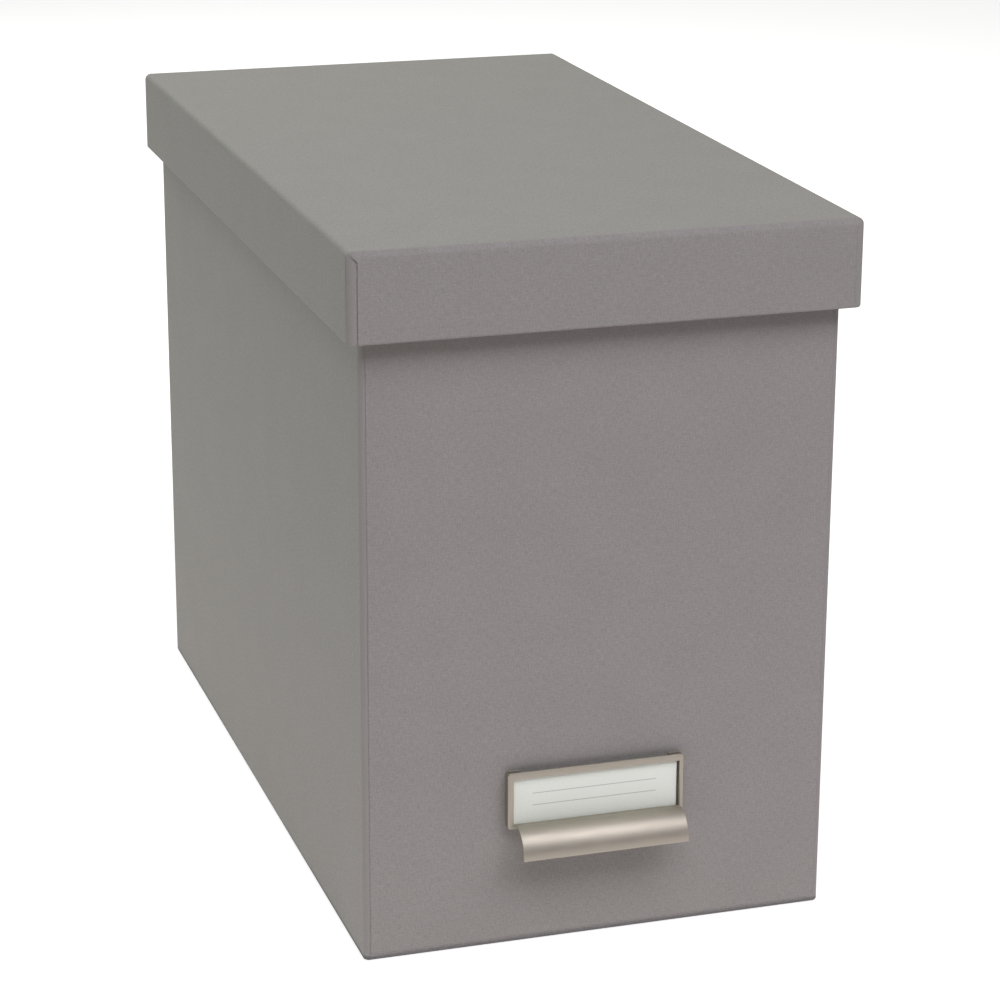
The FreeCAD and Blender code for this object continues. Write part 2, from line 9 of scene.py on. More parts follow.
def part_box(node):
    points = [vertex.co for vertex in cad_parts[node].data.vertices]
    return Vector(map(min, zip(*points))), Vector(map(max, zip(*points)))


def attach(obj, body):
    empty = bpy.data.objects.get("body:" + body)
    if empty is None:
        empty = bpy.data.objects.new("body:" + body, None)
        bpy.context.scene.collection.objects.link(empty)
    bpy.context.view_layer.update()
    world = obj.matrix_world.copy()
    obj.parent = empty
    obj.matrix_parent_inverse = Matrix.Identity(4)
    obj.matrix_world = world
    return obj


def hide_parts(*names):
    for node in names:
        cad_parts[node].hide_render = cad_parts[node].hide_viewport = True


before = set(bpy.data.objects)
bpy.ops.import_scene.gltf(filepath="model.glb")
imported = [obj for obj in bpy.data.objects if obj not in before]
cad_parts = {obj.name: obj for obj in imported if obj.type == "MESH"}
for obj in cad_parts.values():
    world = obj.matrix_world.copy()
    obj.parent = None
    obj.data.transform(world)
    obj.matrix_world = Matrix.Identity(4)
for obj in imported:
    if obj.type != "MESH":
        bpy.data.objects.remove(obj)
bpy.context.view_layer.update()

# Looks of the archival box. Metres, in the frame of the CAD model: X across the width, Y along the
# depth with the front at -Y, Z up. The cover papers are cut flat and folded round the box by the
# grid functions below. The holder, the rails and the card are the CAD shapes with their edges
# rounded, and the rivets are turned here with domed heads.

MM = 0.001

# Camera.
CAMERA_PLACE = (-351.5 * MM, -1168.0 * MM, 514.3 * MM)
CAMERA_AIM = (-16.8 * MM, -100.0 * MM, 149.6 * MM)
CAMERA_ROLL = math.radians(0.243)
LENS = 112.18
SENSOR = 36.0

# Paper and folds.
PAPER = 0.3 * MM
FOLD = 2.0 * MM            # outside radius of the body's folds over the board's outer edges
FOOT_FOLD = 0.7 * MM       # the tighter folds under the body
LID_FOLD = 2.6 * MM        # the lid's folds
RIM_FOLD = 0.75 * MM       # radius of the folds over a thin edge: the rim and the skirt's foot
FOLD_STEPS = 3             # grid steps in half a fold
CREASE = 0.4 * MM          # width of the pressed line beside a cut edge
CREASE_SINK = 0.12 * MM    # depth of that line
SHEET_LIFT = 0.2 * MM      # how far an end sheet stands out from the edges turned in under it
EDGE_SINK = 0.08 * MM      # how far glue pulls a cut edge in
SEAM_DROP = 0.03 * MM      # step between two levels of a sheet where their seam meets its free edge
FOLD_WEAR = 0.1 * MM       # unevenness of the folds
FOLD_WAVES = ((70, 0.6), (230, 0.4))   # (waves to a metre, share) of that unevenness
PITCH = 7.0 * MM           # grid pitch across the flat of a board
FAR = 99                   # rank of a grid line that belongs to no corner
INSIDE = 199               # rank of a row past the top of a rim
SAME = 0.004 * MM          # points nearer than this are one point
PLACE_DIGITS = 7           # digits that tell two grid lines apart, in metres
SHARP_FOLD = 40            # degrees; a sharper edge isn't shaded smooth

# How the cover papers are cut, from the outside edges of the box.
SIDE_MARGIN = 2.4 * MM     # from a corner to the edge of an end sheet
TUCK = 16.3 * MM           # how far the side papers and strips run in under an end sheet
LAP_MARGIN = 3.6 * MM      # from the lid's corner to the cut edge of the lap on its ends
RIM_TURN = 25.0 * MM       # how far the cover turns down inside the body
LID_TURN = 18.0 * MM       # how far it turns up inside the lid

# Metal and card.
STAMPED_EDGE = 0.09 * MM     # wider, it overlaps itself at the ends of the side returns
RAIL_EDGE = 0.15 * MM
CARD_EDGE = 0.08 * MM
EDGE_STEPS = 3               # steps across a rounded edge
ROUNDED_FROM = 30            # degrees; an edge at least this sharp is rounded
FLAT_WITHIN = 0.5            # degrees; faces this close to one plane become one face
METAL_MERGE = 0.002 * MM
METAL_SHARP = 50             # degrees; a sharper edge isn't shaded smooth
RIVET_HEAD = 3.0 * MM        # radius
RIVET_HEAD_RISE = 0.8 * MM
RIVET_SET = 2.4 * MM         # radius of the end set inside
RIVET_SET_RISE = 0.6 * MM
RIVET_SHANK = 1.6 * MM       # radius
RIVET_SIDES = 40
DOME_STEPS = 8
RULE_WIDTH = 0.3 * MM
RULE_REACH = 24.0 * MM       # half a writing rule's length
RULE_HEIGHTS = (0.36, 0.6)   # the rules' places up the card
RULE_INK = 0.55              # how strongly a rule is printed

# Materials. A scale is how often a pattern changes in a metre, and a share is a part of a height.
FACING = 0.7                 # a face looks along an axis when its normal has at least this much of it
THREAD_SCALE, THREAD_RUN = 2100, 400     # across and along the linen's threads
GRAIN_SCALE = 2000
MOTTLE_SCALE, MOTTLE = 45, 0.018
CHAFE_SCALE, CHAFE = 260, 0.05
WARP_SHARE, WEFT_SHARE, GRAIN_SHARE = 0.4, 0.35, 0.65
LINEN_CONTRAST = 0.18
LINEN_BUMP = 0.06 * MM
BOARD_SCALES = (500, 1400, 1)
SPECK_SCALE = 900
BOARD_BUMP = 0.1 * MM
TAPE_SCALES = (300, 1500, 1)
TAPE_BUMP = 0.04 * MM
BRUSH_SCALES = (90, 6000, 1)
CLOUD_SCALE = 160
PIT_SCALE = 2600
METAL_BUMP = 0.01 * MM
CARD_SCALE = 1800
CARD_BUMP = 0.02 * MM


# Places, from the CAD model.


def low(node):
    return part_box(node)[0]


def high(node):
    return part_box(node)[1]


LID_X, LID_Y, LID_TOP = high("lid_cover")
LID_FOOT = low("lid_cover").z
LID_WALL = LID_X - high("lid_lining").x + PAPER
BODY_X = high("right_cover").x
FLAP_Y = high("right_cover").y
BODY_FOOT = low("right_cover").z
RIM = high("right_cover").z
BODY_WALL = BODY_X - high("wall_lining").x + PAPER


# Grids that run round a box. Columns go round it and rows climb it.


def face_lines(reach, offsets, pitch):
    """Grid lines across one face, as (place, rank). The offsets from the outer edges are ranked
    0, 1, 2... from both corners inwards, and the even lines between them are FAR."""
    ranked = [(reach - offset, rank) for rank, offset in enumerate(offsets)]
    inner = ranked[-1][0]
    count = max(2, round(2 * inner / pitch))
    even = [(inner * (2 * i / count - 1), FAR) for i in range(1, count)]
    return [(-place, rank) for place, rank in ranked] + even + ranked[::-1]


def ring_columns(half_x, half_y, offsets, fold=FOLD):
    """Columns round the box, against the clock from the front's left end. Each is the centre of its
    fold, its outward direction, and its rank: 0 at the middle of the nearest corner, negative on
    the ends and positive on the long sides."""
    columns = []
    for quarter in range(4):
        turn = quarter * math.pi / 2
        out = Vector((math.sin(turn), -math.cos(turn)))
        along = Vector((math.cos(turn), math.sin(turn)))
        away, reach = (half_y, half_x) if quarter % 2 == 0 else (half_x, half_y)
        sign = -1 if quarter % 2 == 0 else 1
        for place, rank in face_lines(reach, offsets, PITCH):
            centre = out * (away - fold) + along * place
            columns.append((centre, out, sign * (FOLD_STEPS + rank)))
        corner = out * (away - fold) + along * (reach - fold)
        for step in range(1, 2 * FOLD_STEPS):
            angle = math.pi / 2 * step / (2 * FOLD_STEPS)
            direction = out * math.cos(angle) + along * math.sin(angle)
            columns.append((corner, direction, sign * (FOLD_STEPS - step)))
    return columns


def fold_angles():
    """Tilts of the rows of a fold between a wall and the top or the foot. The first FOLD_STEPS keep
    the mitre of a corner on the grid's diagonal."""
    steps = [math.pi / 4 * i / FOLD_STEPS for i in range(FOLD_STEPS + 1)]
    mitre = [math.atan(math.sin(step)) for step in steps]
    rest = [mitre[-1] + (math.pi / 2 - mitre[-1]) * i / FOLD_STEPS for i in range(1, FOLD_STEPS + 1)]
    return mitre + rest


def fold_rows(level, up, fold=FOLD):
    """Rows of the large fold at one end of the walls, from the wall's end of it. up is 1 for a fold
    over the top and -1 for one under the foot. A row is (inset, height, out, up, rank)."""
    rows = []
    for i, tilt in enumerate(fold_angles()):
        inset = fold * (1 - math.cos(tilt))
        height = level - up * fold * (1 - math.sin(tilt))
        rows.append((inset, height, math.cos(tilt), up * math.sin(tilt), FOLD_STEPS - i))
    return rows


def edge_rows(level, up, wall):
    """Rows over a thin edge, from the outside face to the inside face of a wall."""
    rows = []
    for start, centre, rank in ((0, RIM_FOLD, FAR), (1, wall - RIM_FOLD, INSIDE)):
        for i in range(2 * FOLD_STEPS + 1):
            tilt = math.pi / 2 * (start + i / (2 * FOLD_STEPS))
            inset = centre - RIM_FOLD * math.cos(tilt)
            height = level - up * RIM_FOLD * (1 - math.sin(tilt))
            rows.append((inset, height, math.cos(tilt), up * math.sin(tilt), rank))
    return rows


def climb(start, stop, inset=0.0, first=False):
    """Even rows up the outside of a wall, or along its inside where inset isn't 0, from one height
    to another, with the last row and on request the first."""
    count = max(1, round(abs(stop - start) / PITCH))
    out, rank = (-1.0, INSIDE) if inset else (1.0, FAR)
    heights = [start + (stop - start) * i / count for i in range(0 if first else 1, count + 1)]
    return [(inset, height, out, 0.0, rank) for height in heights]


class Grid:
    """Places, outward normals and flat paper coordinates of every crossing of rows and columns."""

    def __init__(self, half_x, half_y, columns, rows, fold=FOLD):
        self.columns, self.rows, self.fold = columns, rows, fold
        self.places, self.normals, self.flat, self.outward = {}, {}, {}, {}
        run, last = 0.0, rows[0]
        for i, (inset, height, out, up, _) in enumerate(rows):
            run += math.hypot(inset - last[0], height - last[1])
            last = rows[i]
            bend = max(fold - inset, 0.0)
            squeeze_x = (half_x - inset - bend) / (half_x - fold)
            squeeze_y = (half_y - inset - bend) / (half_y - fold)
            squeeze = Vector((squeeze_x, squeeze_y))
            for j, (centre, direction, _) in enumerate(columns):
                if self.corner(i, j) is not None:
                    direction = Vector((math.copysign(1, centre.x), math.copysign(1, centre.y)))
                flat = centre * squeeze + direction * bend
                key = self.key(i, j)
                self.places[key] = Vector((flat.x, flat.y, height))
                self.normals[key] = Vector((direction.x * out, direction.y * out, up))
                self.outward[key] = Vector((0, direction.y * max(out, 0.0), 0))
                self.flat[key] = centre + direction * (fold + run)
        self.roughen()

    def corner(self, i, j):
        """The corner that a crossing falls into in a row that has shrunk past the fold's radius."""
        centre, _, rank = self.columns[j]
        if self.rows[i][0] < self.fold - 1e-9 or abs(rank) > FOLD_STEPS:
            return None
        return (centre.x > 0, centre.y > 0)

    def key(self, i, j):
        corner = self.corner(i, j)
        return (i, j) if corner is None else (i, corner)

    def cells(self):
        """Every cell as its corners' keys, against the clock seen from outside, with the ranks of
        its columns and of its rows."""
        for i in range(len(self.rows) - 1):
            for j in range(len(self.columns)):
                k = (j + 1) % len(self.columns)
                keys = (self.key(i, j), self.key(i, k), self.key(i + 1, k), self.key(i + 1, j))
                yield keys, (self.columns[j][2], self.columns[k][2]), (self.rows[i][4], self.rows[i + 1][4])

    def roughen(self):
        """Gives the folds the small unevenness of folded paper, inwards only."""
        for key, place in self.places.items():
            turned = turn_of(self.normals[key])
            wave = sum(noise.noise(place * scale) * share for scale, share in FOLD_WAVES)
            self.places[key] = place - self.normals[key] * FOLD_WEAR * turned * (0.5 + 0.5 * wave)


def turn_of(normal):
    """How far a normal is from the nearest axis: 0 on a flat face and 1 in the middle of a fold."""
    return min(1.0, max(0.0, 1 - max(abs(component) for component in normal)) / (1 - math.sqrt(0.5)))


def halves(keys, columns, rows):
    """A cell as two triangles, cut along the diagonal that a corner's mitre takes, each with the
    column rank and the row rank of its middle."""
    sign = 1 if sum(columns) > 0 else -1
    ranks = ((columns[0], rows[0]), (columns[1], rows[0]), (columns[1], rows[1]), (columns[0], rows[1]))
    spots = list(zip(keys, ranks))
    if (abs(columns[1]) > abs(columns[0])) != (rows[1] > rows[0]):
        spots = spots[1:] + spots[:1]
    for triple in (spots[:3], [spots[2], spots[3], spots[0]]):
        across = sum(abs(rank[0]) for _, rank in triple) / 3 * sign
        up = sum(rank[1] for _, rank in triple) / 3
        yield tuple(key for key, _ in triple), across, up


# Sheets of paper.


class Sheet:
    """A sheet of paper as a closed thin solid. Its faces are tuples of a grid's keys with a level,
    and each level is lifted off the grid by its own amount where the surface faces an end."""

    def __init__(self, name, lifts=(0.0,), inner_lift=0.0, thick=PAPER):
        self.name, self.lifts, self.inner_lift, self.thick = name, lifts, inner_lift, thick
        self.faces, self.places, self.normals, self.flat, self.outward = [], {}, {}, {}, {}
        self.pressed = set()

    def take(self, grid, owner):
        """Adds the cells of a grid that owner(across, up, middle) gives a level and not None."""
        for keys, columns, rows in grid.cells():
            middle = sum((grid.places[key] for key in keys), Vector()) / 4
            cut = halves(keys, columns, rows)
            parts = [(triple, owner(across, up, middle)) for triple, across, up in cut]
            if parts[0][1] == parts[1][1]:
                parts = [(keys, parts[0][1])]
            for part, level in parts:
                if level is not None:
                    self.add(grid, part, level)

    def add(self, grid, keys, level=0):
        keys = tuple(dict.fromkeys(keys))
        if len(keys) < 3:
            return
        self.faces.append((keys, level))
        for key in keys:
            self.places[key], self.normals[key] = grid.places[key], grid.normals[key]
            self.flat[key], self.outward[key] = grid.flat[key], grid.outward[key]

    def build(self, material):
        edges = {}
        for keys, level in self.faces:
            for a, b in zip(keys, keys[1:] + keys[:1]):
                edges[a, b] = level
        free = {key for a, b in edges if (b, a) not in edges for key in (a, b)}
        folded = [edge for edge, level in edges.items() if edges.get(edge[::-1], level) != level]
        seam = {key for edge in folded for key in edge}
        points, flats, wear, index = [], [], [], {}

        def point(level, key):
            if (level, key) not in index:
                index[level, key] = len(points)
                depth = self.thick if level is None else 0.0
                lift = self.inner_lift if level is None else self.lifts[level]
                if level is not None and key in free:
                    depth += EDGE_SINK
                if level is not None and (key in self.pressed or (key in seam and level > 0)):
                    depth += CREASE_SINK
                drop = SEAM_DROP if level and key in seam and key in free else 0.0
                normal = self.normals[key]
                place = self.places[key] - normal * depth + self.outward[key] * lift
                points.append(place - Vector((0, 0, drop)))
                flats.append(self.flat[key])
                wear.append(turn_of(normal))
            return index[level, key]

        shapes = []
        for keys, level in self.faces:
            shapes.append([point(level, key) for key in keys])
            shapes.append([point(None, key) for key in reversed(keys)])
        for (a, b), level in edges.items():
            other = edges.get((b, a))
            if other is None:
                shapes.append([point(level, b), point(level, a), point(None, a), point(None, b)])
            elif other > level:
                shapes.append([point(level, b), point(level, a), point(other, a), point(other, b)])
        after = {a: level for (a, b), level in edges.items() if (b, a) not in edges}
        for (a, b), level in edges.items():
            if (b, a) not in edges and after.get(b, level) != level:
                shapes.append([point(level, b), point(None, b), point(after[b], b)])
        return paper_object(self.name, points, shapes, flats, wear, material)


def paper_object(name, points, shapes, flats, wear, material):
    """A mesh with the sheet's flat coordinates as its UV map, in metres, and with its wear."""
    mesh = bpy.data.meshes.new(name)
    mesh.from_pydata([tuple(place) for place in points], [], shapes)
    corners = np.zeros(len(mesh.loops), dtype=np.int32)
    mesh.loops.foreach_get("vertex_index", corners)
    flat_map = mesh.uv_layers.new(name="flat")
    flat_map.data.foreach_set("uv", np.array([(flat.x, flat.y) for flat in flats])[corners].ravel())
    mesh.attributes.new("wear", "FLOAT", "POINT").data.foreach_set("value", wear)
    tidy = bmesh.new()
    tidy.from_mesh(mesh)
    bmesh.ops.remove_doubles(tidy, verts=tidy.verts, dist=SAME)
    bmesh.ops.dissolve_degenerate(tidy, edges=tidy.edges, dist=SAME)
    tidy.to_mesh(mesh)
    tidy.free()
    return finished(name, mesh, material)


def finished(name, mesh, material, sharp=SHARP_FOLD):
    """An object of a mesh, shaded smooth but for its sharp edges."""
    mesh.shade_smooth()
    mesh.set_sharp_from_angle(angle=math.radians(sharp))
    mesh.materials.clear()
    mesh.materials.append(material)
    made = bpy.data.objects.new(name, mesh)
    bpy.context.scene.collection.objects.link(made)
    return made


def hand_over(piece, body, slot, *nodes):
    """Ties a finished piece to its body and hides the CAD nodes it stands for. slot is not used."""
    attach(piece, body)
    if nodes:
        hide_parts(*nodes)
    return piece


# Node materials.


class Nodes:
    """A small wrapper that makes node trees readable."""

    def __init__(self, name):
        self.material = bpy.data.materials.new(name)
        self.material.use_nodes = True
        self.tree = self.material.node_tree
        self.tree.nodes.clear()
        self.output = self.make("ShaderNodeOutputMaterial")
        self.surface = self.make("ShaderNodeBsdfPrincipled")
        self.link(self.surface.outputs["BSDF"], self.output.inputs["Surface"])

    def make(self, kind, **settings):
        node = self.tree.nodes.new(kind)
        for name, value in settings.items():
            if hasattr(node, name):
                setattr(node, name, value)
            else:
                self.put(node, name, value)
        return node

    def put(self, node, name, value):
        target = node.inputs[name.replace("_", " ")] if isinstance(name, str) else node.inputs[name]
        if isinstance(value, bpy.types.NodeSocket):
            self.link(value, target)
        else:
            target.default_value = value

    def link(self, a, b):
        self.tree.links.new(a, b)

    def maths(self, operation, a, b=0.0, clamp=False):
        node = self.tree.nodes.new("ShaderNodeMath")
        node.operation, node.use_clamp = operation, clamp
        self.put(node, 0, a)
        if operation != "ABSOLUTE":
            self.put(node, 1, b)
        return node.outputs[0]

    def stretch(self, vector, scale):
        node = self.tree.nodes.new("ShaderNodeMapping")
        self.put(node, "Vector", vector)
        node.inputs["Scale"].default_value = scale
        return node.outputs["Vector"]

    def noise(self, vector, scale=1.0, detail=2.0, rough=0.5):
        node = self.tree.nodes.new("ShaderNodeTexNoise")
        self.put(node, "Vector", vector)
        node.inputs["Scale"].default_value = scale
        node.inputs["Detail"].default_value = detail
        node.inputs["Roughness"].default_value = rough
        return node.outputs["Fac"]

    def span(self, value, low, high, to_low, to_high):
        node = self.tree.nodes.new("ShaderNodeMapRange")
        for i, number in enumerate((value, low, high, to_low, to_high)):
            self.put(node, i, number)
        return node.outputs["Result"]

    def blend(self, fraction, a, b, kind="MIX"):
        node = self.tree.nodes.new("ShaderNodeMix")
        node.data_type, node.blend_type = "RGBA", kind
        self.put(node, 0, fraction)
        self.put(node, 6, a)
        self.put(node, 7, b)
        return node.outputs[2]

    def grey(self, value):
        """A factor as a neutral colour."""
        node = self.tree.nodes.new("ShaderNodeCombineColor")
        for i in range(3):
            self.put(node, i, value)
        return node.outputs[0]

    def bump(self, height, distance, strength=1.0):
        node = self.tree.nodes.new("ShaderNodeBump")
        node.inputs["Strength"].default_value = strength
        node.inputs["Distance"].default_value = distance
        self.put(node, "Height", height)
        self.link(node.outputs["Normal"], self.surface.inputs["Normal"])

    def split(self, flat):
        parts = self.tree.nodes.new("ShaderNodeSeparateXYZ")
        self.link(flat, parts.inputs[0])
        return parts.outputs[0], parts.outputs[1]

    def solid_coordinates(self):
        """Flat coordinates for a solid with no UV map: the two axes across its nearest face."""
        place = self.tree.nodes.new("ShaderNodeTexCoord").outputs["Object"]
        facing = self.tree.nodes.new("ShaderNodeNewGeometry").outputs["True Normal"]
        parts = self.tree.nodes.new("ShaderNodeSeparateXYZ")
        self.link(place, parts.inputs[0])
        sides = self.tree.nodes.new("ShaderNodeSeparateXYZ")
        self.link(facing, sides.inputs[0])
        faces_x = self.maths("GREATER_THAN", self.maths("ABSOLUTE", sides.outputs[0]), FACING)
        faces_z = self.maths("GREATER_THAN", self.maths("ABSOLUTE", sides.outputs[2]), FACING)
        first = self.span(faces_x, 0, 1, parts.outputs[0], parts.outputs[1])
        second = self.span(faces_z, 0, 1, parts.outputs[2], parts.outputs[1])
        joined = self.tree.nodes.new("ShaderNodeCombineXYZ")
        self.link(first, joined.inputs[0])
        self.link(second, joined.inputs[1])
        return joined.outputs[0]


def linen_paper(name, colour, folded, strength=1.0):
    """Cover paper embossed like linen: crossed threads of uneven thickness, soft mottling, and on a
    folded sheet paler worn folds."""
    made = Nodes(name)
    flat = made.tree.nodes.new("ShaderNodeUVMap").outputs["UV"] if folded else made.solid_coordinates()
    warp = made.noise(made.stretch(flat, (THREAD_SCALE, THREAD_RUN, 1)), detail=1.0)
    weft = made.noise(made.stretch(flat, (THREAD_RUN, THREAD_SCALE, 1)), detail=1.0)
    grain = made.noise(flat, GRAIN_SCALE, 1.0)
    patches = made.noise(flat, MOTTLE_SCALE, 3.0)
    warp_part = made.maths("MULTIPLY", warp, WARP_SHARE)
    weft_part = made.maths("MULTIPLY", weft, WEFT_SHARE)
    grain_part = made.maths("MULTIPLY", grain, GRAIN_SHARE)
    height = made.maths("ADD", made.maths("ADD", warp_part, weft_part), grain_part)
    contrast = LINEN_CONTRAST * strength
    tone = made.span(height, 0.45, 0.95, 1 - contrast, 1 + contrast)
    tone = made.maths("MULTIPLY", tone, made.span(patches, 0.3, 0.7, 1 - MOTTLE, 1 + MOTTLE))
    paint = made.blend(1.0, (*colour, 1), made.grey(tone), "MULTIPLY")
    if folded:
        worn = made.make("ShaderNodeAttribute", attribute_name="wear").outputs["Fac"]
        patchy = made.span(made.noise(flat, CHAFE_SCALE, 3.0), 0.35, 0.7, 0.0, CHAFE)
        chafe = made.maths("MULTIPLY", worn, patchy, True)
        paint = made.blend(chafe, paint, (0.62, 0.60, 0.57, 1))
    made.put(made.surface, "Base Color", paint)
    made.put(made.surface, "Roughness", made.span(height, 0.4, 1.0, 0.86, 0.72))
    made.put(made.surface, "Specular IOR Level", 0.25)
    made.bump(height, LINEN_BUMP, 0.5 * strength)
    return made.material


def greyboard(name):
    """Recycled board: fibres pressed one way, with darker specks."""
    made = Nodes(name)
    flat = made.solid_coordinates()
    fibres = made.noise(made.stretch(flat, BOARD_SCALES), detail=4.0)
    specks = made.noise(flat, SPECK_SCALE, 1.0)
    paler = made.span(fibres, 0.3, 0.7, 0, 1)
    paint = made.blend(paler, (0.32, 0.29, 0.25, 1), (0.43, 0.40, 0.36, 1))
    paint = made.blend(made.span(specks, 0.68, 0.72, 0, 0.5), paint, (0.16, 0.14, 0.12, 1))
    made.put(made.surface, "Base Color", paint)
    made.put(made.surface, "Roughness", 0.92)
    made.bump(fibres, BOARD_BUMP, 0.6)
    return made.material


def kraft_tape(name):
    """Brown paper tape with long fibres."""
    made = Nodes(name)
    flat = made.solid_coordinates()
    fibres = made.noise(made.stretch(flat, TAPE_SCALES), detail=4.0)
    paint = made.blend(fibres, (0.42, 0.31, 0.20, 1), (0.60, 0.47, 0.33, 1))
    made.put(made.surface, "Base Color", paint)
    made.put(made.surface, "Roughness", 0.75)
    made.bump(fibres, TAPE_BUMP, 0.5)
    return made.material


def satin_metal(name, colour, rough, grain, metallic=1.0):
    """Brushed or plated sheet steel: fine lines along X, cloudy roughness and tiny pits."""
    made = Nodes(name)
    flat = made.solid_coordinates()
    lines = made.noise(made.stretch(flat, BRUSH_SCALES), detail=3.0)
    cloud = made.noise(flat, CLOUD_SCALE, 3.0)
    pits = made.noise(flat, PIT_SCALE, 1.0)
    finish = made.maths("ADD", lines, cloud)
    tone = made.span(finish, 0.6, 1.4, 0.95, 1.05)
    made.put(made.surface, "Base Color", made.blend(1.0, (*colour, 1), made.grey(tone), "MULTIPLY"))
    made.put(made.surface, "Metallic", metallic)
    made.put(made.surface, "Roughness", made.span(finish, 0.6, 1.4, rough - 0.05, rough + 0.06))
    made.bump(made.maths("ADD", lines, made.maths("MULTIPLY", pits, 0.5)), METAL_BUMP, grain)
    return made.material


def card_stock(name):
    """White card with faint writing rules, whose heights come from the card's."""
    made = Nodes(name)
    flat = made.solid_coordinates()
    fibres = made.noise(flat, CARD_SCALE, 3.0)
    paler = made.span(fibres, 0.3, 0.7, 0, 1)
    paint = made.blend(paler, (0.68, 0.74, 0.65, 1), (0.73, 0.79, 0.70, 1))
    across, up = made.split(flat)
    foot, head = low("label_card"), high("label_card")
    aside = made.maths("ABSOLUTE", made.maths("SUBTRACT", across, (foot.x + head.x) / 2))
    inside = made.maths("LESS_THAN", aside, RULE_REACH)
    for part in RULE_HEIGHTS:
        height = foot.z + part * (head.z - foot.z)
        near = made.maths("ABSOLUTE", made.maths("SUBTRACT", up, height))
        line = made.maths("MULTIPLY", made.maths("LESS_THAN", near, RULE_WIDTH / 2), inside)
        paint = made.blend(made.maths("MULTIPLY", line, RULE_INK), paint, (0.20, 0.21, 0.20, 1))
    made.put(made.surface, "Base Color", paint)
    made.put(made.surface, "Roughness", 0.55)
    made.put(made.surface, "Specular IOR Level", 0.4)
    made.bump(fibres, CARD_BUMP, 0.4)
    return made.material


COVER = linen_paper("cover_paper", (0.262, 0.257, 0.238), True)
LINING = linen_paper("lining_paper", (0.33, 0.32, 0.31), True, 0.4)
BOARD = greyboard("greyboard")
TAPE = kraft_tape("stay_tape")
HOLDER_METAL = satin_metal("holder_metal", (0.42, 0.40, 0.33), 0.54, 0.4)
RAIL_STEEL = satin_metal("rail_steel", (0.62, 0.62, 0.63), 0.42, 0.3, metallic=0.45)
RIVET_STEEL = satin_metal("rivet_steel", (0.66, 0.65, 0.64), 0.3, 0.2, metallic=0.7)
CARD = card_stock("card_stock")


# The body's cover papers.


OFFSETS = [FOLD, SIDE_MARGIN, SIDE_MARGIN + CREASE, TUCK]
MARGIN_RANK = FOLD_STEPS + OFFSETS.index(SIDE_MARGIN)
TUCK_RANK = FOLD_STEPS + OFFSETS.index(TUCK)


def body_grid():
    """The outside of the body at the level of the turned-in edges: from the underside out, round
    the foot, up the walls, over the rim and down to the end of the turn-in."""
    columns = ring_columns(BODY_X, FLAP_Y, OFFSETS)
    under = [(offset, BODY_FOOT, 0.0, -1.0, -FOLD_STEPS - i) for i, offset in enumerate(OFFSETS)]
    foot = [(0.0, BODY_FOOT + offset, 1.0, 0.0, FOLD_STEPS + i) for i, offset in enumerate(OFFSETS)]
    shoulder = RIM - RIM_FOLD - CREASE
    rows = under[::-1] + fold_rows(BODY_FOOT, -1, FOOT_FOLD)[::-1] + foot
    rows += climb(BODY_FOOT + TUCK, shoulder) + edge_rows(RIM, 1, BODY_WALL)
    rows += climb(shoulder, RIM - RIM_TURN, BODY_WALL, first=True)
    return Grid(BODY_X, FLAP_Y, columns, rows)


def pressed_keys(grid):
    """Crossings under the cut edges of the end sheets, where the paper below is pressed in."""
    keys = set()
    for i, row in enumerate(grid.rows):
        for j, (_, _, rank) in enumerate(grid.columns):
            beside = -rank == MARGIN_RANK and row[4] >= MARGIN_RANK
            below = row[4] == MARGIN_RANK and -rank >= MARGIN_RANK
            if beside or below:
                keys.add(grid.key(i, j))
    return keys


def side_wrap(grid, pressed, side, word):
    """The paper of one long side, with its flaps on the ends, the underside and the rim."""
    def owner(across, up, middle):
        flap = across > 0 or (-across < TUCK_RANK and up > -across)
        return 0 if flap and middle.x * side > 0 else None

    wrap = Sheet(f"{word}_wrap")
    wrap.pressed = pressed
    wrap.take(grid, owner)
    hand_over(wrap.build(COVER), "box", "cover_paper", f"{word}_cover")


def edge_strip(grid, pressed, end, word):
    """The strip round the bottom edge of one end, mitred against the side papers."""
    def owner(across, up, middle):
        strip = across < 0 and up < min(-across, TUCK_RANK)
        return 0 if strip and middle.y * end > 0 else None

    strip = Sheet(f"{word}_strip")
    strip.pressed = pressed
    strip.take(grid, owner)
    hand_over(strip.build(COVER), "box", "cover_paper", f"{word}_edge_strip")


def end_sheet(grid, end, word):
    """The sheet laid over the turned-in edges of one end and turned down inside its rim."""
    def owner(across, up, middle):
        clear = MARGIN_RANK if up <= FAR else TUCK_RANK
        return 0 if -across > clear and up > MARGIN_RANK and middle.y * end > 0 else None

    sheet = Sheet(f"{word}_sheet", (SHEET_LIFT,), PAPER)
    sheet.take(grid, owner)
    hand_over(sheet.build(COVER), "box", "cover_paper", f"{word}_cover")


def body_papers():
    grid = body_grid()
    pressed = pressed_keys(grid)
    for side, word in ((-1, "left"), (1, "right")):
        side_wrap(grid, pressed, side, word)
    for end, word in ((-1, "front"), (1, "back")):
        edge_strip(grid, pressed, end, word)
        end_sheet(grid, end, word)
    lining_rows = climb(RIM - RIM_TURN, high("base_lining").z, BODY_WALL, first=True)
    lining = [(*row[:4], FAR) for row in lining_rows]
    band = Sheet("wall_paper")
    band.take(Grid(BODY_X, FLAP_Y, grid.columns, lining), lambda across, up, middle: 0)
    hand_over(band.build(LINING), "box", "lining_paper", "wall_lining")
    floor = flat_sheet("floor_paper", high("base_lining"), high("base_lining").z, 1, PAPER, LINING)
    hand_over(floor, "box", "lining_paper", "base_lining")
    under = high("base_cover")
    hand_over(flat_sheet("base_sheet", under, 0.0, -1, under.z, COVER), "box", "cover_paper", "base_cover")


